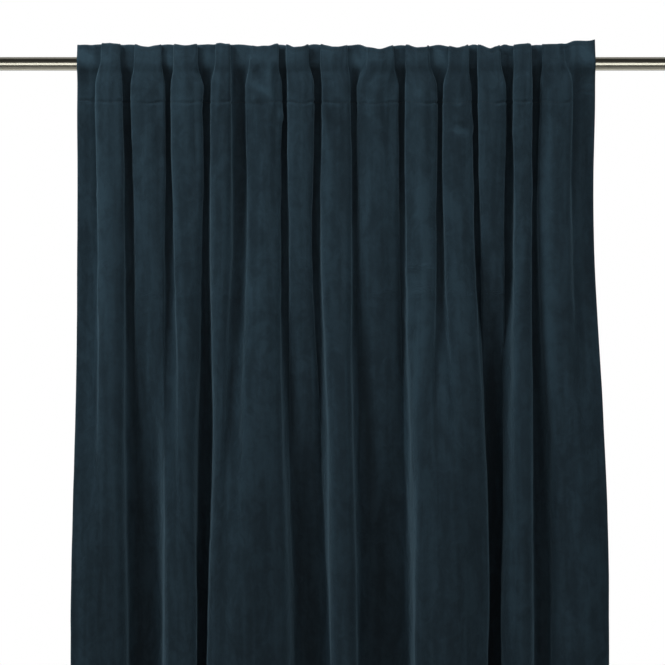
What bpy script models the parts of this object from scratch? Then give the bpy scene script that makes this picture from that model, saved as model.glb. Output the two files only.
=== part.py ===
# A velvet curtain panel that hangs in soft uneven folds from a round steel rod. Fourteen tabs sewn
# behind its heading loop over the rod. Run with: blender --background --python part.py
#
# Frame: metres, +Z up. The origin is the middle of the rod's axis, which lies along X. The curtain's
# face looks towards -Y.

import math
from collections import namedtuple

import bmesh
import bpy
import numpy

COLLECTION_NAME = "velvet_curtain_on_rod"

# Rod: a tube with closed ends, built solid.
ROD_DIAMETER = 0.020
ROD_LENGTH = 1.200
ROD_SIDES = 32

# Cloth as cut and hemmed, before it is hung.
PANEL_WIDTH = 1.350
PANEL_LENGTH = 2.400
CLOTH_THICKNESS = 0.002

# Tabs: short strips of woven tape, sewn flat to the back of the heading.
TAB_COUNT = 14
TAB_PITCH = 0.100
TAB_WIDTH = 0.016
TAB_THICKNESS = 0.0015
TAB_SEAM = 0.008
TAB_TOP = 0.022
TAB_ARC_STEPS = 6
FIRST_TAB = -0.363

# Heights above the rod's axis.
TOP_EDGE = 0.028
HEADING_SEAM = -0.058
TAB_BOTTOM = HEADING_SEAM - TAB_SEAM
HEM = TOP_EDGE - PANEL_LENGTH

# Neighbouring pieces stay this far apart.
GAP = 0.0003

# One point of a cross section is worked out for each step of cloth.
CLOTH_STEP = 0.001

# Cloth beyond the first and the last tab, which hangs flat. The last corner stands a little higher.
END_CLOTH = (PANEL_WIDTH - TAB_PITCH * (TAB_COUNT - 1)) / 2
RIGHT_END_TOP = 0.035

# The folds between neighbouring tabs, from left to right. width is the distance between the two
# tabs. face is how wide the fold's front looks and lean how far it lies to the right of the fold's
# middle, first beside the rod and then from the seam down. top is the height of the fold's upper
# edge, and settled the distance below the rod at which it has joined the low folds.
HeadingFold = namedtuple("HeadingFold", "width rod_face rod_lean face lean top settled")
HEADING_FOLDS = (
    HeadingFold(0.051, 0.030, 0.002, 0.039, -0.002, 0.027, 1.00),
    HeadingFold(0.060, 0.041, 0.001, 0.051, 0.000, 0.022, 0.90),
    HeadingFold(0.054, 0.033, 0.000, 0.050, 0.002, 0.024, 1.00),
    HeadingFold(0.054, 0.022, 0.002, 0.030, -0.002, 0.026, 1.00),
    HeadingFold(0.062, 0.036, 0.010, 0.054, 0.005, 0.024, 0.90),
    HeadingFold(0.049, 0.033, -0.001, 0.041, 0.006, 0.022, 1.00),
    HeadingFold(0.060, 0.041, -0.002, 0.043, 0.003, 0.025, 1.00),
    HeadingFold(0.069, 0.038, 0.008, 0.064, 0.002, 0.020, 0.95),
    HeadingFold(0.057, 0.038, -0.005, 0.050, 0.003, 0.023, 0.90),
    HeadingFold(0.053, 0.031, 0.005, 0.043, 0.002, 0.023, 0.80),
    HeadingFold(0.048, 0.033, -0.002, 0.046, 0.003, 0.021, 0.70),
    HeadingFold(0.042, 0.026, 0.003, 0.028, 0.003, 0.027, 1.00),
    HeadingFold(0.066, 0.031, -0.010, 0.047, -0.004, 0.028, 0.80),
)

# The broad folds that the heading's folds merge into further down, from left to right. cloth is a
# fold's length when flat, width and back are how far its right end lies to the right of its left end
# and behind it, dip is how much its front hollows, in degrees. open_side is -1 where the cloth begins
# at the front of the fold and 1 where it ends there.
LowFold = namedtuple("LowFold", "cloth width back face lean dip open_side")
LOW_FOLDS = (
    LowFold(0.155, 0.111, 0.000, 0.080, 0.000, 2.0, -1),
    LowFold(0.170, 0.082, -0.004, 0.047, 0.013, 0.0, 0),
    LowFold(0.250, 0.161, 0.004, 0.121, -0.016, 6.0, 0),
    LowFold(0.200, 0.111, -0.006, 0.039, -0.002, 0.0, 0),
    LowFold(0.300, 0.171, 0.034, 0.113, 0.010, 9.0, 0),
    LowFold(0.160, 0.071, -0.034, 0.041, 0.000, 0.0, 0),
    LowFold(0.115, 0.092, 0.000, 0.080, 0.000, 2.0, 1),
)
LOW_LEFT_EDGE = -0.394

# A fold's two flanks stand at least and at most this steep. Their bends are this long, along the
# cloth, and the front between them bows by this much.
LEAST_STEEP = math.radians(92.0)
MOST_STEEP = math.radians(128.0)
STEEPER_BY = math.radians(2.0)
HEADING_BEND = 0.016
LOW_BEND = 0.026
BOW = math.radians(24.0)

# Width of the flat strip of cloth in each valley, at the rod and below the heading.
ROD_VALLEY = 0.010
NARROW_VALLEY = 0.006

# How far behind the rod's axis the valleys lie at each height. The rod holds them forward, below it
# they fall back.
Station = namedtuple("Station", "height back")
VALLEY_LINE = (
    Station(height=TOP_EDGE, back=-0.0050),
    Station(height=0.014, back=-0.0086),
    Station(height=0.000, back=-0.0124),
    Station(height=-0.014, back=-0.0066),
    Station(height=-0.034, back=-0.0025),
    Station(height=HEADING_SEAM, back=-0.0010),
    Station(height=TAB_BOTTOM, back=-0.0010),
    Station(height=-0.120, back=0.0055),
    Station(height=-0.360, back=0.0190),
    Station(height=HEM, back=0.0240),
)

# Heights of the rows of the panel's mesh, closer together where the cloth bends most, and how many
# columns a fold's cloth is parted into.
ROW_HEIGHTS = (TOP_EDGE, 0.014, 0.000, -0.014, -0.034, HEADING_SEAM, TAB_BOTTOM, -0.120,
               -0.230, -0.360, -0.520, -0.700, -0.900, -1.600, HEM)
FOLD_COLUMNS = 9
COLUMN_CROWDING = 0.35

# Beside the rod the folds are pressed to this share of their depth, and below it they swell. Further
# down they turn into the low folds, hang deeper while they do so, and soften.
PRESSED = 0.62
BELLY_START = 0.004
BELLY_HEIGHT = 0.040
MERGE_FROM = 0.150
DEEPER = 0.45
SOFTEN_FROM = 0.120
SOFTEN_HEIGHT = 0.140
SOFTEN_REACH = 13

# Each fold is fitted to its width by this many halvings.
HALVINGS = 22


def smooth(value):
    """Ease from 0 to 1 as value goes from 0 to 1."""
    value = numpy.clip(value, 0.0, 1.0)
    return value * value * (3.0 - 2.0 * value)


def mix(first, second, share):
    """Value between two values."""
    return first * (1.0 - share) + second * share


def flank_slope(places, middle, flank, bend):
    """Slope of a flank round its middle: 1 along most of it, easing to 0 in a bend at each end."""
    bend = max(min(bend, flank / 2.0), CLOTH_STEP)
    return smooth((flank / 2.0 - abs(places - middle)) / bend)


def fold_points(fold, bend, angle, front, flank):
    """Points x and y along a fold whose front and flanks have these lengths of cloth."""
    count = round(fold.cloth / CLOTH_STEP)
    places = (numpy.arange(count) + 0.5) / count * fold.cloth
    left_flank = 0.0 if fold.open_side < 0 else flank
    right_flank = 0.0 if fold.open_side > 0 else flank
    front = min(front, fold.cloth - left_flank - right_flank)
    room = fold.cloth - left_flank - right_flank - front
    left = left_flank
    if fold.open_side > 0:
        left += room
    elif fold.open_side == 0:
        left += max(min(room / 2.0 + fold.lean, room), 0.0)
    right = left + front
    share = numpy.clip((places - left) / max(front, CLOTH_STEP), 0.0, 1.0)
    slopes = BOW * numpy.sin(share * 2.0 * math.pi)
    slopes += math.radians(fold.dip) * numpy.sin(share * 4.0 * math.pi)
    if left_flank:
        slopes += angle * flank_slope(places, left - flank / 2.0, flank, bend)
    if right_flank:
        slopes -= angle * flank_slope(places, right + flank / 2.0, flank, bend)
    x = numpy.concatenate([[0.0], numpy.cumsum(numpy.cos(slopes))]) * CLOTH_STEP
    y = -numpy.concatenate([[0.0], numpy.cumsum(numpy.sin(slopes))]) * CLOTH_STEP
    return x, y


def spanning_points(fold, bend, angle, front):
    """Points along a fold with flanks just long enough for it to span its width."""
    low = 0.0
    high = fold.cloth / 2.0
    for _ in range(HALVINGS):
        flank = (low + high) / 2.0
        x, y = fold_points(fold, bend, angle, front, flank)
        reach = x[-1] if fold.open_side else math.hypot(x[-1], y[-1])
        if reach > fold.width:
            low = flank
        else:
            high = flank
    return x, y


def front_edges(x, y):
    """Left and right edge of the part of a fold that lies in front of half its depth."""
    seen = x[y < (y.min() + y.max()) / 2.0]
    return seen.min(), seen.max()


def front_width(x, y):
    """How wide the front of a fold looks."""
    left, right = front_edges(x, y)
    return right - left


def fitted_points(fold, bend):
    """Points along a fold whose width and whose face are both as its row says."""
    angle = LEAST_STEEP
    while angle < MOST_STEEP:
        if front_width(*spanning_points(fold, bend, angle, fold.cloth)) > fold.face:
            break
        angle += STEEPER_BY
    low = 0.0
    high = fold.cloth
    for _ in range(HALVINGS):
        front = (low + high) / 2.0
        x, y = spanning_points(fold, bend, angle, front)
        if front_width(x, y) < fold.face:
            low = front
        else:
            high = front
    if fold.open_side:
        return x * fold.width / x[-1], y
    turned = (x + 1j * y) * complex(fold.width, fold.back) / complex(x[-1], y[-1])
    x = turned.real
    y = turned.imag
    chord = numpy.linspace(0.0, y[-1], len(y))
    depth = numpy.maximum(chord - y, 0.0) / (chord - y).max()
    left, right = front_edges(x, y)
    return x + (fold.width / 2.0 + fold.lean - (left + right) / 2.0) * depth, y


def flat_points(length):
    """Points x and y along a flat strip of cloth."""
    x = numpy.linspace(0.0, length, round(length / CLOTH_STEP) + 1)
    return x, 0.0 * x


def joined_points(runs, left_edge):
    """Runs of points put end to end: x and y for each CLOTH_STEP of the section."""
    all_x = numpy.array([left_edge])
    all_y = numpy.array([0.0])
    for x, y in runs:
        all_x, all_y = (numpy.concatenate([all_x, all_x[-1] + x[1:]]),
                        numpy.concatenate([all_y, all_y[-1] + y[1:]]))
    return numpy.stack([all_x, all_y], axis=1)


def heading_section(flat, faces, leans):
    """Cross section of the heading, where each valley has a flat strip of cloth."""
    end_cloth = END_CLOTH - flat / 2.0
    runs = [flat_points(end_cloth), flat_points(flat)]
    for fold, face, lean in zip(HEADING_FOLDS, faces, leans):
        shape = LowFold(TAB_PITCH - flat, fold.width - flat, 0.0, face, lean, 0.0, 0)
        runs.append(fitted_points(shape, HEADING_BEND))
        runs.append(flat_points(flat))
    runs.append(flat_points(end_cloth))
    return joined_points(runs, FIRST_TAB - END_CLOTH)


def low_section():
    """Cross section of the broad folds, with the first valley level with the tabs."""
    points = joined_points([fitted_points(fold, LOW_BEND) for fold in LOW_FOLDS], LOW_LEFT_EDGE)
    points[:, 1] -= points[round(LOW_FOLDS[0].cloth / CLOTH_STEP), 1]
    return points


def across_folds(values, left_end, right_end, places):
    """A column of HEADING_FOLDS, read at each place across the flat cloth."""
    crests = END_CLOTH + TAB_PITCH * (numpy.arange(len(values) + 2) - 0.5)
    return numpy.interp(places, crests, [left_end, *values, right_end])


def valley_back(height):
    """How far behind the rod's axis the valleys lie at a height."""
    heights = [station.height for station in reversed(VALLEY_LINE)]
    return float(numpy.interp(height, heights, [station.back for station in reversed(VALLEY_LINE)]))


def crest_share(places):
    """0 at the tabs and 1 halfway between them; 1 beyond the outer tabs."""
    tabs = (places - END_CLOTH) / TAB_PITCH
    outside = (tabs < 0.0) | (tabs > TAB_COUNT - 1)
    return numpy.where(outside, 1.0, (1.0 - numpy.cos(2.0 * math.pi * tabs)) / 2.0)


def column_steps():
    """Steps of cloth at which the mesh has its columns, from its left edge to its right."""
    places = [0.0]
    fold_cloth = TAB_PITCH - ROD_VALLEY
    for tab in range(TAB_COUNT):
        middle = END_CLOTH + tab * TAB_PITCH
        places += [middle - ROD_VALLEY / 2.0, middle + ROD_VALLEY / 2.0]
        if tab < TAB_COUNT - 1:
            for column in range(1, FOLD_COLUMNS):
                # closer together in the flanks than on the front
                turn = 2.0 * math.pi * column / FOLD_COLUMNS
                share = column / FOLD_COLUMNS - COLUMN_CROWDING * math.sin(turn) / (2.0 * math.pi)
                places.append(middle + ROD_VALLEY / 2.0 + fold_cloth * share)
    places.append(PANEL_WIDTH)
    return [round(place / CLOTH_STEP) for place in places]


def softened(points):
    """A section with each point moved to the average of its neighbourhood, twice over."""
    for _ in range(2):
        ends = SOFTEN_REACH // 2
        padded = numpy.concatenate([points[:1].repeat(ends, axis=0), points,
                                    points[-1:].repeat(ends, axis=0)])
        sums = numpy.cumsum(numpy.concatenate([[[0.0, 0.0]], padded]), axis=0)
        points = (sums[SOFTEN_REACH:] - sums[:-SOFTEN_REACH]) / SOFTEN_REACH
    return points


def hung_rows():
    """Points (x, y, z) of the hung cloth: for each row of the mesh one for each CLOTH_STEP."""
    beside = heading_section(ROD_VALLEY, [fold.rod_face for fold in HEADING_FOLDS],
                             [fold.rod_lean for fold in HEADING_FOLDS])
    beside[:, 1] *= PRESSED
    seamed = heading_section(NARROW_VALLEY, [fold.face for fold in HEADING_FOLDS],
                             [fold.lean for fold in HEADING_FOLDS])
    broad = low_section()
    places = numpy.arange(len(broad)) * CLOTH_STEP
    settled = across_folds([fold.settled for fold in HEADING_FOLDS], HEADING_FOLDS[0].settled,
                           HEADING_FOLDS[-1].settled, places)
    tops = across_folds([fold.top for fold in HEADING_FOLDS], TOP_EDGE, RIGHT_END_TOP, places)
    rows = []
    for height in ROW_HEIGHTS:
        section = mix(beside, seamed, smooth((BELLY_START - height) / BELLY_HEIGHT))
        joined = smooth((-height - MERGE_FROM) / (settled - MERGE_FROM))[:, None]
        section = mix(section, broad, joined)
        section[:, 1:] *= 1.0 + DEEPER * 4.0 * joined * (1.0 - joined)
        section = mix(section, softened(section), smooth((-height - SOFTEN_FROM) / SOFTEN_HEIGHT))
        lift = (tops - TOP_EDGE) * crest_share(places) * smooth(height / TOP_EDGE)
        rows.append(numpy.column_stack([section[:, 0], section[:, 1] + valley_back(height),
                                        height + lift]))
    return rows


def add_material(obj, name, colour, roughness, metallic):
    """Give an object its own Principled material."""
    material = bpy.data.materials.new(name)
    material.use_nodes = True
    shader = material.node_tree.nodes["Principled BSDF"]
    shader.inputs["Base Color"].default_value = (*colour, 1.0)
    shader.inputs["Roughness"].default_value = roughness
    shader.inputs["Metallic"].default_value = metallic
    obj.data.materials.append(material)


def add_solidify(obj, thickness, even):
    """Thicken an open sheet to both sides."""
    solidify = obj.modifiers.new("thickness", "SOLIDIFY")
    solidify.thickness = thickness
    solidify.offset = 0.0
    solidify.use_even_offset = even


def make_panel(collection):
    """The velvet panel: a flat grid of cloth, hung in its folds and thickened."""
    steps = column_steps()
    rows = hung_rows()
    bm = bmesh.new()
    bmesh.ops.create_grid(bm, x_segments=len(steps) - 1, y_segments=len(rows) - 1, size=1.0)
    bm.verts.ensure_lookup_table()
    for index, vert in enumerate(bm.verts):
        row, column = divmod(index, len(steps))
        vert.co = rows[row][steps[column]].tolist()
    bmesh.ops.recalc_face_normals(bm, faces=bm.faces)
    mesh = bpy.data.meshes.new("panel")
    bm.to_mesh(mesh)
    bm.free()
    mesh.shade_smooth()
    panel = bpy.data.objects.new("panel", mesh)
    collection.objects.link(panel)
    add_solidify(panel, CLOTH_THICKNESS, False)
    add_material(panel, "petrol_velvet", (0.012, 0.026, 0.038), 0.85, 0.0)
    return panel


def tangent_angle(y, z, radius, side):
    """Angle round the rod at which a straight run from (y, z) meets a circle round its axis."""
    return math.atan2(z, y) + side * math.acos(radius / math.hypot(y, z))


def tab_path():
    """Side view (y, z) of a tab's middle line: seam, run over the rod, run down, seam."""
    behind_cloth = CLOTH_THICKNESS / 2.0 + GAP + TAB_THICKNESS / 2.0
    top_y = valley_back(TAB_TOP) + behind_cloth
    bottom_y = valley_back(HEADING_SEAM) + behind_cloth
    radius = ROD_DIAMETER / 2.0 + GAP + TAB_THICKNESS / 2.0
    over = tangent_angle(top_y, TAB_TOP - TAB_SEAM, radius, -1.0)
    under = tangent_angle(bottom_y, HEADING_SEAM, radius, 1.0)
    # The chords of the arc keep clear of the rod.
    outer_radius = radius / math.cos((over - under) / TAB_ARC_STEPS / 2.0)
    path = [(top_y, TAB_TOP), (top_y, TAB_TOP - TAB_SEAM)]
    for step in range(TAB_ARC_STEPS + 1):
        angle = over + (under - over) * step / TAB_ARC_STEPS
        path.append((outer_radius * math.cos(angle), outer_radius * math.sin(angle)))
    path += [(bottom_y, HEADING_SEAM), (bottom_y, TAB_BOTTOM)]
    return path


def make_tab_mesh():
    """A strip of cloth as wide as a tab, drawn out sideways from its middle line."""
    bm = bmesh.new()
    points = [bm.verts.new((-TAB_WIDTH / 2.0, y, z)) for y, z in tab_path()]
    edges = [bm.edges.new(pair) for pair in zip(points, points[1:])]
    drawn = bmesh.ops.extrude_edge_only(bm, edges=edges)
    moved = [item for item in drawn["geom"] if isinstance(item, bmesh.types.BMVert)]
    bmesh.ops.translate(bm, verts=moved, vec=(TAB_WIDTH, 0.0, 0.0))
    bmesh.ops.recalc_face_normals(bm, faces=bm.faces)
    mesh = bpy.data.meshes.new("tab")
    bm.to_mesh(mesh)
    bm.free()
    return mesh


def make_tabs(collection):
    """A tab behind each valley of the heading."""
    mesh = make_tab_mesh()
    x = FIRST_TAB
    for number in range(TAB_COUNT):
        tab = bpy.data.objects.new(f"tab_{number + 1:02d}", mesh.copy())
        tab.location = (x, 0.0, 0.0)
        collection.objects.link(tab)
        add_solidify(tab, TAB_THICKNESS, True)
        add_material(tab, "petrol_tab_cloth", (0.014, 0.028, 0.040), 0.90, 0.0)
        if number < len(HEADING_FOLDS):
            x += HEADING_FOLDS[number].width


def make_rod(collection):
    """The rod, laid along X."""
    bpy.ops.mesh.primitive_cylinder_add(vertices=ROD_SIDES, radius=ROD_DIAMETER / 2.0,
                                        depth=ROD_LENGTH, rotation=(0.0, math.pi / 2.0, 0.0))
    rod = bpy.context.object
    rod.name = "rod"
    rod.data.name = "rod"
    for owner in list(rod.users_collection):
        owner.objects.unlink(rod)
    collection.objects.link(rod)
    rod.data.shade_smooth()
    rod.data.set_sharp_from_angle(angle=math.radians(40.0))
    add_material(rod, "brushed_steel", (0.42, 0.40, 0.36), 0.35, 1.0)


def main():
    for obj in list(bpy.data.objects):
        bpy.data.objects.remove(obj)
    collection = bpy.data.collections.new(COLLECTION_NAME)
    bpy.context.scene.collection.children.link(collection)
    make_rod(collection)
    make_panel(collection)
    make_tabs(collection)


main()
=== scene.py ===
import math

import bmesh
import bpy
import numpy as np
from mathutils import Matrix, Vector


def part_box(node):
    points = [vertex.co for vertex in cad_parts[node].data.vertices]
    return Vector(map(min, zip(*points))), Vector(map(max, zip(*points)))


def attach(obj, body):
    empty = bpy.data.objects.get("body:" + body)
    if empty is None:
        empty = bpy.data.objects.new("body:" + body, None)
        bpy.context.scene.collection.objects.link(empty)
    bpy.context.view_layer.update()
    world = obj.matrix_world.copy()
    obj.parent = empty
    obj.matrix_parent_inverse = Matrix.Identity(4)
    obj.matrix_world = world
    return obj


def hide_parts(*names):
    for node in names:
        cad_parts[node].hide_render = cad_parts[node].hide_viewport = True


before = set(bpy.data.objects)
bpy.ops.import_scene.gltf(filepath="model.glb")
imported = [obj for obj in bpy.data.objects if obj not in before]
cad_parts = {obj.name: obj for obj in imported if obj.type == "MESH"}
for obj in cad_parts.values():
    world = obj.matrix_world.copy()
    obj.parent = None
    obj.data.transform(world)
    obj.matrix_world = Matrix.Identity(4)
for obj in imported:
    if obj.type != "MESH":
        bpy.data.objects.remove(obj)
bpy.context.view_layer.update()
print("frame loaded")

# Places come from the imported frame. Metres, the rod's axis is the X axis, the curtain faces -Y.
rodLow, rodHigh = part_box("rod")
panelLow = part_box("panel")[0]
tabNodes = sorted(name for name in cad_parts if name.startswith("tab_"))
tabBoxes = [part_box(name) for name in tabNodes]
tabMiddles = [(low[0] + high[0]) / 2 for low, high in tabBoxes]
rodRadius = (rodHigh[2] - rodLow[2]) / 2

look = bpy.data.collections.new("curtainLook")
bpy.context.scene.collection.children.link(look)


def rowsOf(columns, *rows):
    # a table: one dictionary for each row
    return [dict(zip(columns.split(), row)) for row in rows]


def smooth(value):
    value = np.clip(value, 0.0, 1.0)
    return value * value * (3.0 - 2.0 * value)


def mix(first, second, share):
    return first * (1.0 - share) + second * share


def hill(distance, width):
    # 1 at the middle, falling softly to nothing about two widths away
    return np.exp(-(distance / width) ** 2)


# The cloth as it was cut, and the heights of what is sewn on it, above the rod's axis.
cloth = {
    "flatWidth": 1.350,
    "flatLength": 2.400,
    "step": 0.001,          # of cloth, in the cross sections
    "columns": 356,         # of the mesh
    "thickness": 0.0020,    # where it is doubled
    "singleShare": 0.5,     # of that, where it is single
    "cadHalf": 0.0010,      # half the thickness of the solid
    "topEdge": 0.028,
    "leftEndTop": 0.027,
    "rightEndTop": 0.035,
    "topStitch": 0.021,
    "seam": -0.058,
    "sideHem": 0.022,
    "bottomHem": 0.080,
    "tabPitch": 0.100,      # cloth from tab to tab
    "tabStrip": 0.010,      # flat cloth in front of each tab, beside the rod
    "narrowValley": 0.006,  # and from the seam down
    "lowLeftEdge": -0.394,  # where the left edge hangs, far down
}
cloth["end"] = (cloth["flatWidth"] - cloth["tabPitch"] * (len(tabNodes) - 1)) / 2
cloth["hem"] = cloth["topEdge"] - cloth["flatLength"]

# How it hangs. A name that ends in From is a distance below the rod's axis, Over a length of fading.
hanging = {
    "pressed": 0.54,            # depth of the folds beside the rod, as a share
    "swellFrom": -0.004,        # from there the folds take the form they have at the seam
    "swell": 0.040,
    "mergeFrom": 0.150,         # and from there they join into broad waves
    "settledEnds": (1.00, 0.80),
    "deeper": 0.45,             # halfway through that they are so much deeper
    "easeFrom": 0.12,           # the cross sections are rounded further from there
    "easeOver": 0.14,
    "easing": 5,
    "sway": 0.0018,             # small wandering of the folds
    "swayOver": 0.10,
    "liftOver": 0.09,           # the top's arcs fade out over this height
    "liftBelowSeam": 0.03,
    "endRise": (1.280, 0.050),  # the last tab is pulled up with the right end
    "waver": 0.0010,
    "waverBelow": 0.01,
    "waverOver": 0.03,
    "seamSag": 0.0026,
    "seamSagWide": 0.03,
}
# How much higher the seam lies towards the two ends of the cloth.
seamRise = rowsOf(
    "across rise",
    (0.000, 0.007),
    (0.030, 0.000),
    (1.295, 0.000),
    (1.330, 0.016),
    (1.350, 0.018),
)

# One row for each fold between two tabs, from left to right. face is the width of its front and lean
# how far that front lies to the right of the fold's middle, first beside the rod and then from the
# seam down. top is the height of its upper edge, settled how far down it has joined a low wave.
headingFolds = rowsOf(
    "rodFace rodLean face lean top settled",
    (0.030, 0.002, 0.039, -0.002, 0.030, 1.00),
    (0.041, 0.001, 0.051, 0.000, 0.024, 0.90),
    (0.033, 0.000, 0.050, 0.002, 0.025, 1.00),
    (0.022, 0.002, 0.030, -0.002, 0.029, 1.00),
    (0.036, 0.010, 0.054, 0.005, 0.024, 0.90),
    (0.033, -0.001, 0.041, 0.006, 0.022, 1.00),
    (0.041, -0.002, 0.043, 0.003, 0.025, 1.00),
    (0.038, 0.008, 0.064, 0.002, 0.020, 0.95),
    (0.038, -0.005, 0.050, 0.003, 0.023, 0.90),
    (0.031, 0.005, 0.043, 0.002, 0.023, 0.80),
    (0.033, -0.002, 0.046, 0.003, 0.021, 0.70),
    (0.026, 0.003, 0.028, 0.003, 0.027, 1.00),
    (0.031, -0.010, 0.047, -0.004, 0.028, 0.80),
)

# How steep a flank stands at least and at most, in degrees, how long its two bends are, and how much
# a front bows, in degrees.
foldShape = {
    "steep": 92.0,
    "steepest": 128.0,
    "steeperBy": 2.0,
    "headingBend": 0.016,
    "lowBend": 0.026,
    "bow": 24.0,
    "leastFlank": 0.002,
    "bendShare": 0.48,      # of a flank, at most
    "frontShare": 0.6,      # what stands out further than this share belongs to the front
    "frontFrom": 0.002,
    "flankTries": 22,
    "frontTries": 16,
}

# One row for each broad wave further down. cloth is its flat length, width and back how far its right
# end lies to the right of its left end and behind it, dip how much its front hollows, in degrees.
# open is -1 where the cloth begins at the wave's front and 1 where it ends there.
lowWaves = rowsOf(
    "cloth width back face lean dip open",
    (0.155, 0.111, 0.000, 0.080, 0.000, 2.0, -1),
    (0.170, 0.082, -0.004, 0.047, 0.013, 0.0, 0),
    (0.250, 0.161, 0.004, 0.121, -0.016, 6.0, 0),
    (0.200, 0.111, -0.006, 0.039, -0.002, 0.0, 0),
    (0.300, 0.171, 0.034, 0.113, 0.010, 9.0, 0),
    (0.160, 0.071, -0.034, 0.041, 0.000, 0.0, 0),
    (0.115, 0.092, 0.000, 0.080, 0.000, 2.0, 1),
)

# How far behind the rod's axis the valleys lie at each height.
valleyLine = rowsOf(
    "height back",
    (0.060, -0.0010),
    (0.028, -0.0050),
    (0.014, -0.0086),
    (0.006, -0.0112),
    (-0.001, -0.0124),
    (-0.007, -0.0110),
    (-0.015, -0.0062),
    (-0.030, -0.0028),
    (-0.058, -0.0010),
    (-0.068, -0.0008),
    (-0.140, 0.0080),
    (-0.410, 0.0200),
    (-2.380, 0.0240),
)

# Rows of the mesh: down to each height the rows lie this far apart.
rowZones = rowsOf(
    "until apart",
    (0.013, 0.0022),
    (-0.050, 0.0040),
    (-0.066, 0.0016),
    (-0.150, 0.0060),
    (-0.420, 0.0115),
    (-0.960, 0.0220),
    (-2.270, 0.0600),
    (-2.352, 0.0125),
    (-2.372, 0.0040),
)


def foldPath(wave):
    # x and y along one fold, from valley to valley: up one flank, over the front, down the other
    length, noLeft, noRight = wave["cloth"], wave.get("open", 0) < 0, wave.get("open", 0) > 0
    count = round(length / cloth["step"])
    places = (np.arange(count) + 0.5) / count * length

    def path(angle, front, flanks):
        # flanks is the length of both flanks together
        flank = flanks / 2
        ends = (0.0 if noLeft else flank) + (0.0 if noRight else flank)
        front = min(front, length - ends)
        room = length - ends - front
        left = 0.0
        if noRight:
            left = room + flank
        elif not noLeft:
            left = flank + max(min(room / 2 + wave["lean"], room), 0.0)
        right = left + front
        bend = min(wave["bend"], foldShape["bendShare"] * flank)
        rise = smooth((flank / 2 - abs(places - left + flank / 2)) / bend) * (not noLeft)
        fall = smooth((flank / 2 - abs(places - right - flank / 2)) / bend) * (not noRight)
        share = np.clip((places - left) / max(front, cloth["step"]), 0.0, 1.0)
        bow = math.radians(foldShape["bow"]) * np.sin(share * 2 * math.pi)
        hollow = math.radians(wave.get("dip", 0.0)) * np.sin(share * 4 * math.pi)
        slopes = angle * (rise - fall) + bow + hollow
        x = np.concatenate([[0.0], np.cumsum(np.cos(slopes))]) * cloth["step"]
        y = -np.concatenate([[0.0], np.cumsum(np.sin(slopes))]) * cloth["step"]
        return x, y

    def fitted(angle, front):
        # the flanks are as long as they must be for the fold to span its width
        low, high = foldShape["leastFlank"], length
        for attempt in range(foldShape["flankTries"]):
            flanks = (low + high) / 2
            x, y = path(angle, front, flanks)
            reach = x[-1] if noLeft or noRight else math.hypot(x[-1], y[-1])
            if reach > wave["width"]:
                low = flanks
            else:
                high = flanks
        return x, y

    def frontWidth(x, y):
        ahead = x[y < (y.min() + y.max()) / 2]
        return ahead.max() - ahead.min()

    # as steep as it needs to be for a front so wide
    angle = math.radians(foldShape["steep"])
    while angle < math.radians(foldShape["steepest"]):
        if frontWidth(*fitted(angle, length)) > wave["face"]:
            break
        angle += math.radians(foldShape["steeperBy"])
    low, high = 0.0, length
    for attempt in range(foldShape["frontTries"]):
        front = (low + high) / 2
        x, y = fitted(angle, front)
        if frontWidth(x, y) < wave["face"]:
            low = front
        else:
            high = front
    if noLeft or noRight:
        return x * (wave["width"] / x[-1]), y
    # turned and stretched a hair so that its two valleys lie where they should
    turned = (x + 1j * y) * (wave["width"] + 1j * wave["back"]) / (x[-1] + 1j * y[-1])
    x, y = turned.real, turned.imag
    chord = np.linspace(0.0, y[-1], len(y))
    ahead = (y + foldShape["frontFrom"] < chord) * (chord - y)
    front = x[y < y.min() * foldShape["frontShare"]]
    shift = wave["width"] / 2 + wave["lean"] - (front.min() + front.max()) / 2
    return x + shift * ahead / ahead.max(), y


def trace(waves, leftEdge):
    # x and y of a cross section at each step of cloth
    xs, ys = [leftEdge], [0.0]
    for wave in waves:
        if "face" in wave:
            x, y = foldPath(wave)
        else:
            x = np.linspace(0.0, wave["cloth"], round(wave["cloth"] / cloth["step"]) + 1)
            y = 0.0 * x
        lastX, lastY = xs[-1], ys[-1]
        xs += list(lastX + x[1:])
        ys += list(lastY + y[1:])
    return np.array([xs, ys]).T


def headingSection(flat, faceName, leanName):
    # cross section of the heading, with a flat strip of cloth in each valley
    waves = [{"cloth": cloth["end"] - flat / 2}, {"cloth": flat}]
    for fold, left, right in zip(headingFolds, tabMiddles, tabMiddles[1:]):
        waves.append({"cloth": cloth["tabPitch"] - flat, "width": right - left - flat, "back": 0.0,
                      "face": fold[faceName], "lean": fold[leanName], "bend": foldShape["headingBend"]})
        waves.append({"cloth": flat})
    waves.append({"cloth": cloth["end"] - flat / 2})
    return trace(waves, tabMiddles[0] - cloth["end"])


def lowSection():
    points = trace([dict(wave, bend=foldShape["lowBend"]) for wave in lowWaves], cloth["lowLeftEdge"])
    points[:, 1] -= points[round(lowWaves[0]["cloth"] / cloth["step"]), 1]
    return points


def acrossFolds(name, ends, places):
    # a column of the fold table, read at each place across the flat cloth
    values = [ends[0]] + [fold[name] for fold in headingFolds] + [ends[1]]
    crests = cloth["end"] + cloth["tabPitch"] * (np.arange(len(values)) - 0.5)
    return np.interp(places, crests, values)


def valleyBack(height):
    levels = [row["height"] for row in valleyLine][::-1]
    return np.interp(height, levels, [row["back"] for row in valleyLine][::-1])


def rowHeights():
    heights = [cloth["topEdge"]]
    for zone in rowZones:
        count = max(1, round((heights[-1] - zone["until"]) / zone["apart"]))
        heights += list(np.linspace(heights[-1], zone["until"], count + 1)[1:])
    return np.array(heights)


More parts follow.
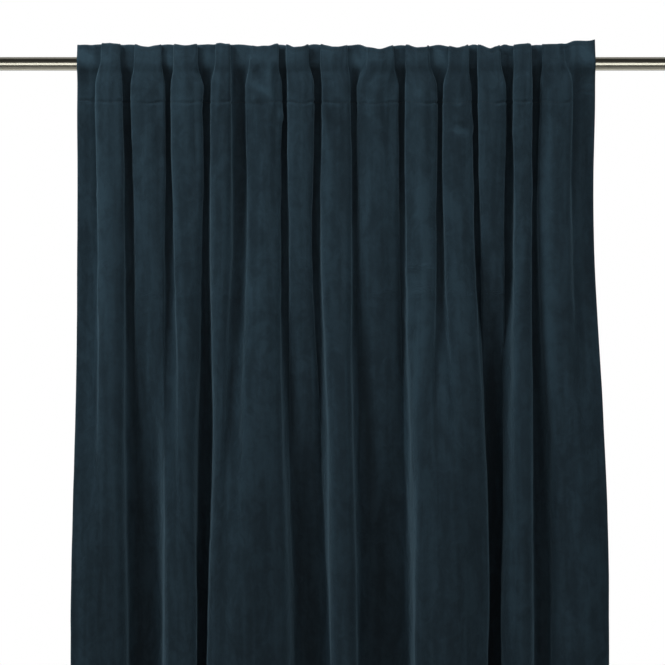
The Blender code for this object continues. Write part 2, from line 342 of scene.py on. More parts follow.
def softNoise(places, heights, size, seed):
    # smooth bumps about size = (across, down) metres large, from -1 to 1
    across, down = size
    rows, columns = int(2.6 / down) + 4, int(1.5 / across) + 4    # enough for the whole cloth
    grid = np.random.default_rng(seed).uniform(-1.0, 1.0, (rows, columns))
    column = places / across + 1.0
    row = (cloth["topEdge"] + 0.02 - heights) / down + 1.0
    c0, r0 = np.floor(column).astype(int), np.floor(row).astype(int)
    cs, rs = smooth(column - c0), smooth(row - r0)
    upper = mix(grid[r0][:, c0], grid[r0][:, c0 + 1], cs[None, :])
    lower = mix(grid[r0 + 1][:, c0], grid[r0 + 1][:, c0 + 1], cs[None, :])
    return mix(upper, lower, rs[:, None])


# Unevenness of the whole cloth: how far its bumps rise, and how large they are across and down.
unevenness = rowsOf(
    "rise across down seed",
    (0.0022, 0.045, 0.300, 11),
    (0.0011, 0.020, 0.120, 12),
    (0.0007, 0.013, 0.030, 13),
)

# Creases, each from one point of the flat cloth to another: across the cloth from its
# left edge, and height. rise is how far it stands out, or sinks in below 0.
creases = rowsOf(
    "x0 z0 x1 z1 wide rise",
    (0.447, 0.004, 0.462, -0.050, 0.006, 0.0040),
    (0.463, -0.004, 0.472, -0.060, 0.005, -0.0036),
    (0.482, 0.000, 0.486, -0.075, 0.005, 0.0034),
    (0.500, -0.078, 0.516, -0.086, 0.007, 0.0022),
    (0.508, -0.096, 0.500, -0.140, 0.010, -0.0014),
    (0.668, -0.076, 0.672, -0.096, 0.006, -0.0030),
    (0.655, -0.070, 0.690, -0.130, 0.010, 0.0012),
    (0.972, -0.096, 0.986, -0.101, 0.005, -0.0026),
    (0.968, -0.086, 0.990, -0.090, 0.005, 0.0010),
    (0.985, -0.060, 1.002, -0.100, 0.005, 0.0022),
    (0.300, -0.036, 0.318, -0.048, 0.008, 0.0016),
    (0.052, -0.010, 0.047, -0.200, 0.005, 0.0016),
    (0.047, -0.200, 0.050, -0.370, 0.006, 0.0014),
)

# Faint level creases left by the way the curtain lay folded in its pack.
packingFolds = rowsOf(
    "height wide rise seed",
    (-0.318, 0.006, 0.0007, 3),
    (-0.332, 0.005, -0.0005, 4),
    (-0.668, 0.007, 0.0008, 5),
    (-0.684, 0.005, -0.0006, 6),
    (-1.010, 0.007, 0.0006, 7),
    (-1.350, 0.007, 0.0006, 8),
    (-1.690, 0.007, 0.0006, 9),
    (-2.030, 0.007, 0.0006, 10),
)

# Rows of stitches, and how deep they draw the cloth in.
sewnRows = rowsOf(
    "level depth",
    (cloth["topStitch"], 0.0006),
    (cloth["seam"], 0.0013),
    (cloth["hem"] + cloth["bottomHem"], 0.0006),
)
puckers = {
    "groove": 0.0016,       # width of what the stitches draw in
    "beside": 0.0045,       # the cloth puffs up at this distance
    "besideWide": 0.0028,
    "besideShare": 0.5,
    "tight": 0.45,
    "tightVaries": 0.90,
    "loosest": 0.05,
}
heldFlat = {"wide": 0.014, "share": 0.9, "below": 0.10, "over": 0.03}    # beside the tabs
turnedEdge = {"back": 0.0009, "over": 0.004}                             # along the top and the hem

# Painted highlights, and painted shade where light is below 0: spots and bands of lighter or darker
# colour, laid like the creases.
paintedLightSpots = rowsOf(
    "x0 z0 x1 z1 wide light",
    (0.050, -0.010, 0.052, -0.075, 0.007, 0.90),
    (0.053, -0.080, 0.056, -0.200, 0.009, 1.30),
    (0.056, -0.200, 0.052, -0.290, 0.012, 1.30),
    (0.050, -0.290, 0.064, -0.370, 0.015, 1.00),
    (0.035, -0.330, 0.052, -0.440, 0.014, 0.60),
    (0.004, 0.012, 0.020, 0.000, 0.011, 1.80),
    (0.462, -0.030, 0.482, -0.044, 0.005, 1.60),
    (0.478, -0.006, 0.486, -0.060, 0.005, 1.20),
    (0.222, 0.010, 0.226, 0.000, 0.007, 1.60),
    (0.324, 0.012, 0.330, -0.002, 0.008, 2.00),
    (0.722, 0.010, 0.726, 0.000, 0.008, 2.40),
    (0.924, 0.010, 0.928, -0.002, 0.008, 2.20),
    (0.155, -0.030, 0.152, -0.260, 0.006, 0.50),
    (0.255, -0.030, 0.250, -0.260, 0.007, 0.60),
    (0.350, -0.010, 0.352, -0.240, 0.008, 0.80),
    (0.500, -0.076, 0.512, -0.090, 0.006, 2.00),
    (0.974, -0.100, 0.984, -0.102, 0.005, 2.60),
    (0.660, -0.074, 0.672, -0.090, 0.006, -0.80),
    (0.560, -0.040, 0.556, -0.280, 0.006, 0.55),
    (0.660, -0.110, 0.655, -0.330, 0.007, 0.45),
    (0.760, -0.030, 0.756, -0.320, 0.006, 0.55),
    (0.876, -0.040, 0.882, -0.300, 0.011, 0.85),
    (0.882, -0.300, 0.868, -0.560, 0.014, 0.80),
    (0.868, -0.560, 0.866, -0.980, 0.014, 0.70),
    (1.155, -0.060, 1.158, -0.520, 0.008, 0.55),
    (1.180, -0.520, 1.175, -0.680, 0.010, 0.60),
    (1.266, -0.090, 1.262, -0.480, 0.010, 1.00),
    (0.420, -0.320, 0.470, -0.345, 0.016, 0.45),
    (1.326, 0.018, 1.342, 0.000, 0.011, 1.70),
    (0.520, -0.200, 0.530, -0.380, 0.016, 0.25),
    (1.062, -0.480, 1.072, -0.980, 0.026, -0.90),
)
paintedLightBlotches = {"least": 0.75, "varies": 0.45, "across": 0.012, "down": 0.030}


def awayFrom(mark, across, height):
    # distance of each place on the flat cloth from a mark that runs from one point to another
    alongX, alongZ = mark["x1"] - mark["x0"], mark["z1"] - mark["z0"]
    share = (across - mark["x0"]) * alongX + (height - mark["z0"]) * alongZ
    share = np.clip(share / (alongX ** 2 + alongZ ** 2), 0.0, 1.0)
    return np.hypot(across - mark["x0"] - share * alongX, height - mark["z0"] - share * alongZ)


# painted highlights and painted shade at each place, broken into blotches
def paintedLightMarks(places, heights):
    across, height = places[None, :], heights[:, None]
    marks = sum(paintedSpot["light"] * hill(awayFrom(paintedSpot, across, height), paintedSpot["wide"]) for paintedSpot in paintedLightSpots)
    blotches = softNoise(places, heights, (paintedLightBlotches["across"], paintedLightBlotches["down"]), 31)
    return marks * (paintedLightBlotches["least"] + paintedLightBlotches["varies"] * blotches)


def surfaceRelief(places, heights):
    # how far the face of the cloth stands out from its smooth folds
    across, height = places[None, :], heights[:, None]
    relief = sum(row["rise"] * softNoise(places, heights, (row["across"], row["down"]), row["seed"])
                 for row in unevenness)
    tab = (places - cloth["end"]) / cloth["tabPitch"]
    beside = hill((tab - np.round(tab)) * cloth["tabPitch"], heldFlat["wide"])
    beside = beside * (np.round(tab) >= 0) * (tab < len(tabNodes) - 0.5)
    held = beside[None, :] * smooth((height + heldFlat["below"]) / heldFlat["over"])
    relief = relief * (1.0 - heldFlat["share"] * held)
    for crease in creases:
        relief = relief + crease["rise"] * hill(awayFrom(crease, across, height), crease["wide"])
    for crease in packingFolds:
        waver = 0.003 * softNoise(places, heights[:1], (0.06, 1.0), crease["seed"])
        strength = 0.5 + 0.5 * softNoise(places, heights[:1], (0.04, 1.0), crease["seed"] + 20)
        level = height - crease["height"] - waver
        relief = relief + crease["rise"] * strength * hill(level, crease["wide"])
    # the rows of stitches draw the cloth in, and it puckers between them
    pucker = 0.5 + 0.5 * softNoise(places, heights, (0.008, 0.012), 14)
    tight = puckers["tight"] + puckers["tightVaries"] * softNoise(places, heights[:1], (0.016, 1.0), 17)
    tight = np.clip(tight, puckers["loosest"], 1.0)
    for row in sewnRows:
        away = height - row["level"]
        puff = hill(abs(away) - puckers["beside"], puckers["besideWide"])
        relief = relief - row["depth"] * tight * hill(away, puckers["groove"])
        relief = relief + puckers["besideShare"] * row["depth"] * pucker * puff
    # the cloth is turned over along its top and its hem, which rounds the edge off
    edge = np.minimum(cloth["topEdge"] - height, height - cloth["hem"])
    return relief - turnedEdge["back"] * (1.0 - smooth(edge / turnedEdge["over"]))


def foldedCloth(places, heights, beside):
    # x and y of the cloth at each height, as its folds swell, join and settle
    steps = np.arange(round(cloth["flatWidth"] / cloth["step"]) + 1) * cloth["step"]

    def section(points):
        return np.stack([np.interp(places, steps, points[:, axis]) for axis in (0, 1)], axis=1)[None]

    beside = section(beside) * np.array([1.0, hanging["pressed"]])
    seamed = section(headingSection(cloth["narrowValley"], "face", "lean"))
    broad = section(lowSection())
    down = -heights[:, None, None]
    settled = acrossFolds("settled", hanging["settledEnds"], places)[None, :, None]
    flat = mix(beside, seamed, smooth((down - hanging["swellFrom"]) / hanging["swell"]))
    joined = smooth((down - hanging["mergeFrom"]) / (settled - hanging["mergeFrom"]))
    flat = mix(flat, broad, joined)
    # where small folds turn into broad ones the cloth between them hangs a little deeper
    flat[..., 1:] *= 1.0 + hanging["deeper"] * 4.0 * joined * (1.0 - joined)
    eased = flat
    for turn in range(hanging["easing"]):
        inner = 0.25 * eased[:, :-2] + 0.5 * eased[:, 1:-1] + 0.25 * eased[:, 2:]
        eased = np.concatenate([eased[:, :1], inner, eased[:, -1:]], axis=1)
    flat = mix(flat, eased, smooth((down - hanging["easeFrom"]) / hanging["easeOver"]))
    sway = hanging["sway"] * softNoise(places, heights, (0.090, 0.30), 16)
    flat[..., 0] += sway * smooth(-heights / hanging["swayOver"])[:, None]
    return flat, beside[0, :, 0]


def hungPoints(places, heights):
    # where each point of the flat cloth hangs: an array of rows, columns and x, y, z
    beside = headingSection(cloth["tabStrip"], "rodFace", "rodLean")
    flat, besideX = foldedCloth(places, heights, beside)
    # the top edge runs in soft arcs from valley to valley as it is seen from the front
    ends = [tabMiddles[0] - cloth["end"]] + tabMiddles + [tabMiddles[-1] + cloth["end"]]
    spots = np.array([-0.5, *range(len(tabNodes)), len(tabNodes) - 0.5])
    seen = np.interp(besideX, ends, cloth["end"] + cloth["tabPitch"] * spots)
    crest = 0.5 - 0.5 * np.cos(2 * math.pi * (seen - cloth["end"]) / cloth["tabPitch"])
    tops = acrossFolds("top", (cloth["leftEndTop"], cloth["rightEndTop"]), seen)
    lift = (tops - cloth["topEdge"]) * crest
    riseFrom, riseOver = hanging["endRise"]
    rise = (1.0 - crest) * smooth((seen - riseFrom) / riseOver)
    lift = lift + (cloth["rightEndTop"] - cloth["topEdge"]) * rise
    fade = smooth((heights - cloth["seam"] + hanging["liftBelowSeam"]) / hanging["liftOver"])
    # the top edge waves a little, the seam sags on the fronts of the folds and rises at both ends
    waver = hanging["waver"] * softNoise(seen, heights, (0.016, 0.20), 15)
    waver = waver * smooth((heights + hanging["waverBelow"]) / hanging["waverOver"])[:, None]
    raised = np.interp(places, [row["across"] for row in seamRise], [row["rise"] for row in seamRise])
    nearSeam = hill(heights - cloth["seam"], hanging["seamSagWide"])
    sag = (raised - hanging["seamSag"] * crest)[None, :] * nearSeam[:, None]
    height = heights[:, None] + lift[None, :] * fade[:, None] + waver + sag
    return np.stack([flat[..., 0], flat[..., 1] + valleyBack(height), height], axis=2)


def faceNormals(points):
    # unit normals of the cloth's face, towards the room
    normals = np.cross(np.gradient(points, axis=0), np.gradient(points, axis=1))
    normals /= np.linalg.norm(normals, axis=2, keepdims=True)
    return -normals if normals[..., 1].mean() > 0 else normals


def meshObject(name, verts, faces):
    mesh = bpy.data.meshes.new(name)
    mesh.from_pydata(verts, [], faces)
    mesh.shade_smooth()
    piece = bpy.data.objects.new(name, mesh)
    look.objects.link(piece)
    return piece


def dress(piece, material, node):
    # a piece rides the root and stands for a node of the frame
    piece.data.materials.append(material)
    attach(piece, "root")
    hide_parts(node)


placesAcross = np.linspace(0.0, cloth["flatWidth"], cloth["columns"])
heightsDown = rowHeights()


def makePanel():
    points = hungPoints(placesAcross, heightsDown)
    normals = faceNormals(points)
    relief = surfaceRelief(placesAcross, heightsDown)
    points = points + normals * (cloth["cadHalf"] + relief)[..., None]
    rows, columns = points.shape[:2]
    corner = np.arange(rows * columns).reshape(rows, columns)
    quads = np.stack([corner[:-1, :-1], corner[1:, :-1], corner[1:, 1:], corner[:-1, 1:]], axis=2)
    piece = meshObject("velvetPanel", points.reshape(-1, 3).tolist(), quads.reshape(-1, 4).tolist())
    # the flat cloth's own coordinates, in metres, for its pile and its markings
    flat = np.zeros((rows, columns, 3), dtype=np.float32)
    flat[..., 0] = placesAcross[None, :]
    flat[..., 1] = heightsDown[:, None]
    attributes = piece.data.attributes
    attributes.new("flatPlace", "FLOAT_VECTOR", "POINT").data.foreach_set("vector", flat.ravel())
    # painted highlights and painted shade, kept on each point for the velvet's colour
    paintedLight = paintedLightMarks(placesAcross, heightsDown).astype(np.float32)
    attributes.new("paintedLight", "FLOAT", "POINT").data.foreach_set("value", paintedLight.ravel())
    # doubled cloth: the heading's turn, down to just below the seam, and the hems
    side = np.minimum(placesAcross, cloth["flatWidth"] - placesAcross) < cloth["sideHem"]
    doubled = side[None, :] | (heightsDown > cloth["seam"] - 0.0008)[:, None]
    doubled = doubled | (heightsDown < cloth["hem"] + cloth["bottomHem"])[:, None]
    group = piece.vertex_groups.new(name="doubledCloth")
    group.add(corner[doubled].tolist(), 1.0, "REPLACE")
    group.add(corner[~doubled].tolist(), cloth["singleShare"], "REPLACE")
    solidify = piece.modifiers.new("thickness", "SOLIDIFY")
    solidify.thickness = cloth["thickness"]
    solidify.offset = -1.0
    solidify.use_even_offset = False
    solidify.vertex_group = group.name
    return piece, points, normals


velvetPanel, facePoints, faceDirections = makePanel()
print("panel hung:", len(velvetPanel.data.vertices), "points")


class Wire:
    # a socket that takes part in sums: each sum adds its Math node
    def __init__(self, graph, socket):
        self.graph = graph
        self.socket = socket

    def maths(self, operation, first, second):
        return self.graph.node("ShaderNodeMath", {"operation": operation}, {0: first, 1: second})

    def __add__(self, other):
        return self.maths("ADD", self, other)

    def __radd__(self, other):
        return self.maths("ADD", other, self)

    def __sub__(self, other):
        return self.maths("SUBTRACT", self, other)

    def __rsub__(self, other):
        return self.maths("SUBTRACT", other, self)

    def __mul__(self, other):
        return self.maths("MULTIPLY", self, other)

    def __rmul__(self, other):
        return self.maths("MULTIPLY", other, self)


class Graph:
    # a material under construction
    def __init__(self, name):
        self.material = bpy.data.materials.new(name)
        self.material.use_nodes = True
        self.tree = self.material.node_tree
        self.shader = self.tree.nodes["Principled BSDF"]

    def feed(self, socket, value):
        if isinstance(value, Wire):
            self.tree.links.new(value.socket, socket)
        else:
            socket.default_value = value

    def node(self, kind, settings=None, values=None, output=0):
        made = self.tree.nodes.new(kind)
        for name, setting in (settings or {}).items():
            setattr(made, name, setting)
        for name, value in (values or {}).items():
            self.feed(made.inputs[name], value)
        return Wire(self, made.outputs[output])

    def shade(self, **values):
        for name, value in values.items():
            self.feed(self.shader.inputs[name.replace("_", " ")], value)

    def attribute(self, name, output):
        return self.node("ShaderNodeAttribute", {"attribute_name": name}, output=output)

    def objectPlace(self):
        return self.node("ShaderNodeTexCoord", output=3)

    def noise(self, place, scale, detail=2.0, roughness=0.5, distortion=0.0):
        return self.node("ShaderNodeTexNoise", {}, {"Vector": place, "Scale": scale, "Detail": detail,
                                                    "Roughness": roughness, "Distortion": distortion})

    def scaled(self, place, factors):
        return self.node("ShaderNodeVectorMath", {"operation": "MULTIPLY"}, {0: place, 1: factors})

    def ramp(self, value, low, high):
        # 0 below low, 1 above high
        return self.node("ShaderNodeMapRange", {"interpolation_type": "SMOOTHSTEP"},
                         {"Value": value, "From Min": low, "From Max": high})

    def blendColours(self, share, first, second):
        return self.node("ShaderNodeMix", {"data_type": "RGBA"},
                         {0: share, 6: first, 7: second}, output=2)

    def bump(self, height, strength, distance, normal=None):
        values = {"Height": height, "Strength": strength, "Distance": distance}
        if normal is not None:
            values["Normal"] = normal
        return self.node("ShaderNodeBump", {}, values)


velvet = {
    "deep": (0.0075, 0.0165, 0.0245, 1.0),
    "lit": (0.0240, 0.0500, 0.0700, 1.0),
    "sheenTint": (0.38, 0.63, 0.80, 1.0),
    "sheenWeight": 0.34,
    "sheenRoughness": 0.58,
    "roughness": 0.85,
    "specular": 0.12,
    # patterns of the pile: marks in a metre across and down, detail, roughness, distortion
    "strokes": (75.0, 6.0, 2.0, 0.5, 0.4),
    "patches": (30.0, 14.0, 3.0, 0.6, 1.2),
    "smudges": (80.0, 60.0, 4.0, 0.65, 0.8),
    "grain": (1200.0, 900.0, 2.0, 0.7, 0.0),
    "wrinkles": (60.0, 190.0, 3.0, 0.6, 1.4),
    "wrinkledParts": (13.0, 24.0, 2.0, 0.5, 0.0),
    # height of each band of wrinkles and half its width
    "wrinkled": ((-0.302, 0.014), (-0.340, 0.016), (-0.664, 0.020), (-0.708, 0.015),
                 (-1.040, 0.020), (-1.400, 0.020), (-1.760, 0.020), (-2.110, 0.020)),
}


def pile(graph, place, name):
    across, down, detail, roughness, distortion = velvet[name]
    return graph.noise(graph.scaled(place, (across, down, 1.0)), 1.0, detail, roughness, distortion)


def velvetMaterial():
    graph = Graph("petrolVelvet")
    place = graph.attribute("flatPlace", 1)
    paintedLight = graph.attribute("paintedLight", 2)
    # the pile lies this way and that: long strokes down the cloth, patches brushed another way, small
    # smudges
    strokes = pile(graph, place, "strokes")
    patches = pile(graph, place, "patches")
    smudges = pile(graph, place, "smudges")
    grain = pile(graph, place, "grain")
    tone = graph.ramp(strokes * 0.34 + patches * 0.38 + smudges * 0.28, 0.38, 0.64)
    # the painted highlights and painted shade lighten and darken the velvet's colour
    share = 0.04 + tone * 0.68 + grain * 0.15 + paintedLight * 0.60
    colour = graph.blendColours(share, velvet["deep"], velvet["lit"])
    relief = graph.bump(grain, 0.4, 0.0005)
    relief = graph.bump(smudges * 0.45 + patches * 0.55, 0.50, 0.0060, relief)
    relief = graph.bump(strokes, 0.30, 0.0020, relief)
    # short level wrinkles where the curtain was folded in its pack
    wrinkles = pile(graph, place, "wrinkles")
    down = graph.node("ShaderNodeSeparateXYZ", {}, {"Vector": place}, output=1)
    creased = 0.0
    for level, wide in velvet["wrinkled"]:
        away = down - level
        creased = creased + graph.ramp(away * away, wide ** 2, 0.0)
    parts = graph.ramp(pile(graph, place, "wrinkledParts"), 0.46, 0.66)
    relief = graph.bump(wrinkles * creased * parts, 0.5, 0.0040, relief)
    graph.shade(Base_Color=colour, Roughness=velvet["roughness"], Normal=relief,
                Sheen_Weight=velvet["sheenWeight"], Sheen_Roughness=velvet["sheenRoughness"],
                Sheen_Tint=velvet["sheenTint"], Specular_IOR_Level=velvet["specular"])
    return graph.material


dress(velvetPanel, velvetMaterial(), "panel")

rodLook = {
    "sides": 96,
    "rim": 0.0008,
    "rimSteps": 3,
    "sharpFrom": 40.0,
    "dark": (0.31, 0.295, 0.235, 1.0),
    "bright": (0.47, 0.455, 0.385, 1.0),
    "brushing": (900.0, 900.0, 9.0),
    "smoothest": 0.20,
    "roughnessVaries": 0.16,
}


def makeRod():
    bpy.ops.mesh.primitive_cylinder_add(
        vertices=rodLook["sides"], radius=rodRadius, depth=rodHigh[0] - rodLow[0],
        location=((rodLow[0] + rodHigh[0]) / 2, 0.0, 0.0), rotation=(0.0, math.pi / 2, 0.0))
    piece = bpy.context.object
    piece.name = "steelRod"
    for owner in list(piece.users_collection):
        owner.objects.unlink(piece)
    look.objects.link(piece)
    rim = piece.modifiers.new("rim", "BEVEL")
    rim.width = rodLook["rim"]
    rim.segments = rodLook["rimSteps"]
    rim.limit_method = "ANGLE"
    piece.data.shade_smooth()
    piece.data.set_sharp_from_angle(angle=math.radians(rodLook["sharpFrom"]))
    return piece


def brushedSteel():
    graph = Graph("brushedSteel")
    place = graph.objectPlace()
    lines = graph.noise(graph.scaled(place, rodLook["brushing"]), 1.0, 3.0, 0.6)
    worn = graph.noise(place, 24.0, 3.0, 0.6)
    colour = graph.blendColours(lines * 0.6 + worn * 0.4, rodLook["dark"], rodLook["bright"])
    graph.shade(Base_Color=colour, Metallic=1.0,
                Roughness=rodLook["smoothest"] + lines * rodLook["roughnessVaries"],
                Normal=graph.bump(lines, 0.12, 0.0002))
    return graph.material


dress(makeRod(), brushedSteel(), "rod")
print("rod made")

# Back tabs: woven tape, sewn to the heading behind each valley and looped over the rod.
tape = {
    "thickness": 0.0015,
    "gap": 0.0003,
    "seam": 0.008,
    "arcSteps": 26,
    "ribs": 9,
    "edge": 0.0006,         # its selvedges are rounded off over this width
    "edgeOut": 0.2,
    "edgeThick": 0.7,
    "dark": (0.0085, 0.0175, 0.0250, 1.0),
    "bright": (0.0230, 0.0430, 0.0560, 1.0),
}


def tapePath(low, high):
    # side view of a tab's middle line: down from its upper seam, round the rod, down to its lower seam
    behind = cloth["cadHalf"] + tape["gap"] + tape["thickness"] / 2
    radius = rodRadius + tape["gap"] + tape["thickness"] / 2
    top, bottom = high[2], low[2]
    upper, lower = top - tape["seam"], bottom + tape["seam"]
    topY, bottomY = float(valleyBack(top)) + behind, float(valleyBack(lower)) + behind
    over = math.atan2(upper, topY) - math.acos(min(1.0, radius / math.hypot(topY, upper)))
    under = math.atan2(lower, bottomY) + math.acos(radius / math.hypot(bottomY, lower))
    path = [(topY, top), (topY, (top + upper) / 2), (topY, upper)]
    for angle in np.linspace(over, under, tape["arcSteps"]):
        path.append((radius * math.cos(angle), radius * math.sin(angle)))
    lastY, lastZ = path[-1]
    path += [(mix(lastY, bottomY, share), mix(lastZ, lower, share)) for share in (0.25, 0.5, 0.75)]
    path += [(bottomY, lower), (bottomY, (lower + bottom) / 2), (bottomY, bottom)]
    return np.array(path)


def tubeFaces(first, rings, sides):
    # faces of a closed tube whose rings of points begin at point number first
    faces = []
    for ring in range(rings - 1):
        start = first + ring * sides
        for spot in range(sides):
            here, beside = start + spot, start + (spot + 1) % sides
            faces.append((here, beside, beside + sides, here + sides))
    last = first + (rings - 1) * sides
    return faces + [tuple(range(first, first + sides))[::-1], tuple(range(last, last + sides))]


def makeTab(number, low, high):
    path = tapePath(low, high)
    along = np.gradient(path, axis=0)
    along /= np.linalg.norm(along, axis=1, keepdims=True)
    away = np.stack([along[:, 1], -along[:, 0]], axis=1)
    half, thick, edge = (high[0] - low[0]) / 2, tape["thickness"] / 2, tape["edge"]
    # one ring of the tape: its two faces, with rounded selvedges
    across = np.linspace(-half + edge, half - edge, tape["ribs"])
    nearEdge, thin = half - tape["edgeOut"] * edge, tape["edgeThick"] * thick
    ring = [(x, thick) for x in across] + [(nearEdge, thin), (half, 0.0), (nearEdge, -thin)]
    ring += [(x, -thick) for x in across[::-1]] + [(-nearEdge, -thin), (-half, 0.0), (-nearEdge, thin)]
    middle = (low[0] + high[0]) / 2
    verts = []
    for (y, z), (awayY, awayZ) in zip(path, away):
        verts += [(middle + x, y + awayY * out, z + awayZ * out) for x, out in ring]
    piece = meshObject(f"backTab{number:02d}", verts, tubeFaces(0, len(path), len(ring)))
    bm = bmesh.new()
    bm.from_mesh(piece.data)
    bmesh.ops.recalc_face_normals(bm, faces=bm.faces)
    bm.to_mesh(piece.data)
    bm.free()
    return piece


def threads(graph, place, direction, scale, distortion):
    return graph.node("ShaderNodeTexWave", {"wave_type": "BANDS", "bands_direction": direction},
                      {"Vector": place, "Scale": scale, "Distortion": distortion,
                       "Detail": 2.0, "Detail Scale": 3.0}, output=1)


def wovenTape():
    graph = Graph("wovenTape")
    place = graph.objectPlace()
    ribs = threads(graph, place, "Z", 320.0, 1.2)
    warp = threads(graph, place, "X", 260.0, 0.8)
    fuzz = graph.noise(place, 700.0, 3.0, 0.6)
    weave = ribs * 0.45 + warp * 0.35 + fuzz * 0.20
    graph.shade(Base_Color=graph.blendColours(weave, tape["dark"], tape["bright"]), Roughness=0.86,
                Specular_IOR_Level=0.2, Sheen_Weight=0.15, Sheen_Roughness=0.5,
                Normal=graph.bump(weave, 0.6, 0.0004))
    return graph.material


tapeCloth = wovenTape()
for number, (nodeName, (low, high)) in enumerate(zip(tabNodes, tabBoxes), start=1):
    dress(makeTab(number, low, high), tapeCloth, nodeName)
print("tabs made:", len(tabNodes))

# Rows of stitches: sewn through the heading, along its top and along the hem.
stitching = {
    "from": 0.004,          # the side edges
    "pitch": 0.0042,
    "length": 0.0030,
    "radius": 0.00032,
    "sides": 5,
    "lift": 0.0002,         # a stitch stands out at its middle and sinks in at its ends
    "endSize": 0.75,
    "colour": (0.0075, 0.0160, 0.0235, 1.0),
}


def clothPoint(array, across, height):
    # array of the hung cloth, read between its rows and columns
    column = np.interp(across, placesAcross, np.arange(len(placesAcross)))
    row = np.interp(-height, -heightsDown, np.arange(len(heightsDown)))
    c, r = min(int(column), len(placesAcross) - 2), min(int(row), len(heightsDown) - 2)
    upper = mix(array[r, c], array[r, c + 1], column - c)
    lower = mix(array[r + 1, c], array[r + 1, c + 1], column - c)
    return mix(upper, lower, row - r)


def stitchPoints(start, level):
    # three rings of points round a stitch
    length, sides, lift = stitching["length"], stitching["sides"], stitching["lift"]
    small = stitching["endSize"]
    line = [clothPoint(facePoints, start + share * length, level) for share in (0.0, 0.5, 1.0)]
    out = clothPoint(faceDirections, start + length / 2, level)
    along = line[2] - line[0]
    along /= np.linalg.norm(along)
    side = np.cross(along, out)
    points = []
    for middle, raised, size in zip(line, (-lift, lift, -lift), (small, 1.0, small)):
        for turn in 2 * math.pi * np.arange(sides) / sides:
            rim = (out * math.cos(turn) + side * math.sin(turn)) * stitching["radius"] * size
            points.append(tuple(middle + out * raised + rim))
    return points


def makeStitches():
    verts, faces = [], []
    count = int((cloth["flatWidth"] - 2 * stitching["from"]) / stitching["pitch"])
    for row in sewnRows:
        for number in range(count):
            faces += tubeFaces(len(verts), 3, stitching["sides"])
            verts += stitchPoints(stitching["from"] + number * stitching["pitch"], row["level"])
    return meshObject("threadStitches", verts, faces)


def sewingThread():
    graph = Graph("sewingThread")
    twist = graph.noise(graph.scaled(graph.objectPlace(), (2600.0, 900.0, 900.0)), 1.0, 2.0, 0.5)
    graph.shade(Base_Color=stitching["colour"], Roughness=0.45 + twist * 0.3,
                Specular_IOR_Level=0.45, Normal=graph.bump(twist, 0.5, 0.0001))
    return graph.material


dress(makeStitches(), sewingThread(), "panel")
print("stitches made")

studio = {
    "distance": 3.2,
    "seenWidth": 0.9975,
    "middleX": -0.006,
    "belowRod": 0.403,
    "sensor": 36.0,
    "floorGap": 0.012,
    "floorRadius": 1.7,
    "floorColour": (0.82, 0.82, 0.81, 1.0),
    "floorGlow": 0.14,
    "floorGlowColour": (1.0, 1.0, 0.99, 1.0),
    "skyAbove": 0.045,
    "skyBelow": 0.078,
    "skyFade": 0.5,
}
lights = rowsOf(
    "name place aim size power",
    ("leftLight", (-1.35, -0.95, 1.00), (0.0, 0.0, -0.10), (0.8, 0.7), 25.0),
    ("rightLight", (1.45, -1.05, 0.98), (0.0, 0.0, -0.10), (0.8, 0.7), 9.4),
    ("frontLight", (0.0, -1.40, 1.25), (0.0, 0.0, 0.00), (1.6, 0.6), 9.0),
    ("backLight", (-0.50, 2.00, 0.60), (0.0, 0.0, -1.00), (1.2, 0.8), 34.0),
)
# Cards that only show in the rod.
cards = rowsOf(
    "name place aim size power",
    ("rodCard", (0.0, -3.4, -0.62), (0.0, 0.0, 0.0), (3.6, 1.5), 62.0),
    ("upperCard", (0.0, 1.30, 2.60), (0.0, 0.0, 0.0), (4.0, 2.2), 17.0),
    ("lowerCard", (0.0, 1.50, -2.00), (0.0, 0.0, 0.0), (4.0, 2.0), 26.0),
)


def makeCamera():
    camera = bpy.data.cameras.new("camera")
    camera.sensor_width = studio["sensor"]
    camera.lens = camera.sensor_width * studio["distance"] / studio["seenWidth"]
    holder = bpy.data.objects.new("camera", camera)
    holder.location = (studio["middleX"], -studio["distance"], -studio["belowRod"])
    holder.rotation_euler = (math.pi / 2, 0.0, 0.0)
    bpy.context.scene.collection.objects.link(holder)
    bpy.context.scene.camera = holder


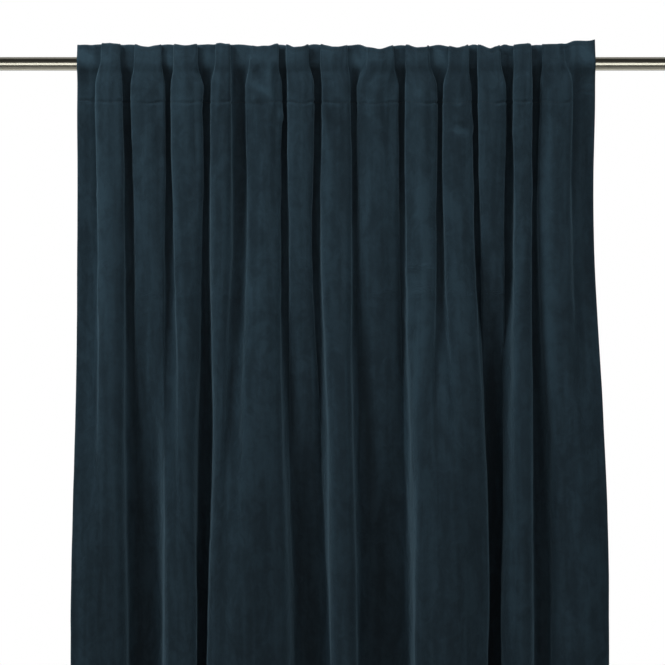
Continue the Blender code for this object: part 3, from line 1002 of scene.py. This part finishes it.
def areaLight(name, place, aim, size, power):
    light = bpy.data.lights.new(name, "AREA")
    light.shape = "RECTANGLE"
    light.size, light.size_y = size
    light.energy = power
    holder = bpy.data.objects.new(name, light)
    holder.location = place
    x, y, z = np.array(aim) - np.array(place)
    holder.rotation_euler = (math.atan2(math.hypot(x, y), -z), 0.0, math.atan2(y, x) - math.pi / 2)
    holder.visible_glossy = False
    holder.visible_camera = False
    bpy.context.scene.collection.objects.link(holder)
    return holder


def makeWorld():
    # the camera sees a white backdrop; the light that falls on things is weaker, and least from above
    world = bpy.data.worlds.new("studio")
    world.use_nodes = True
    tree = world.node_tree
    background = tree.nodes["Background"]
    background.inputs["Strength"].default_value = 1.0
    direction = tree.nodes.new("ShaderNodeTexCoord")
    split = tree.nodes.new("ShaderNodeSeparateXYZ")
    shade = tree.nodes.new("ShaderNodeMapRange")
    sight = tree.nodes.new("ShaderNodeLightPath")
    either = tree.nodes.new("ShaderNodeMix")
    shade.inputs["From Min"].default_value = -studio["skyFade"]
    shade.inputs["From Max"].default_value = studio["skyFade"]
    shade.inputs["To Min"].default_value = studio["skyBelow"]
    shade.inputs["To Max"].default_value = studio["skyAbove"]
    either.inputs[3].default_value = 1.0
    tree.links.new(direction.outputs["Generated"], split.inputs["Vector"])
    tree.links.new(split.outputs["Z"], shade.inputs["Value"])
    tree.links.new(sight.outputs["Is Camera Ray"], either.inputs[0])
    tree.links.new(shade.outputs["Result"], either.inputs[2])
    tree.links.new(either.outputs[0], background.inputs["Color"])
    bpy.context.scene.world = world


def makeFloor():
    bm = bmesh.new()
    bmesh.ops.create_circle(bm, cap_ends=True, segments=96, radius=studio["floorRadius"])
    mesh = bpy.data.meshes.new("studioFloor")
    bm.to_mesh(mesh)
    bm.free()
    floor = bpy.data.objects.new("studioFloor", mesh)
    floor.location = (0.0, 0.0, panelLow[2] - studio["floorGap"])
    bpy.context.scene.collection.objects.link(floor)
    graph = Graph("paleFloor")
    graph.shade(Base_Color=studio["floorColour"], Roughness=0.7,
                Emission_Color=studio["floorGlowColour"], Emission_Strength=studio["floorGlow"])
    mesh.materials.append(graph.material)


makeCamera()
makeWorld()
bpy.context.scene.view_settings.view_transform = "Standard"
for light in lights:
    areaLight(**light)
for card in cards:
    holder = areaLight(**card)
    holder.visible_diffuse = False
    holder.visible_glossy = True
makeFloor()
print("studio set")
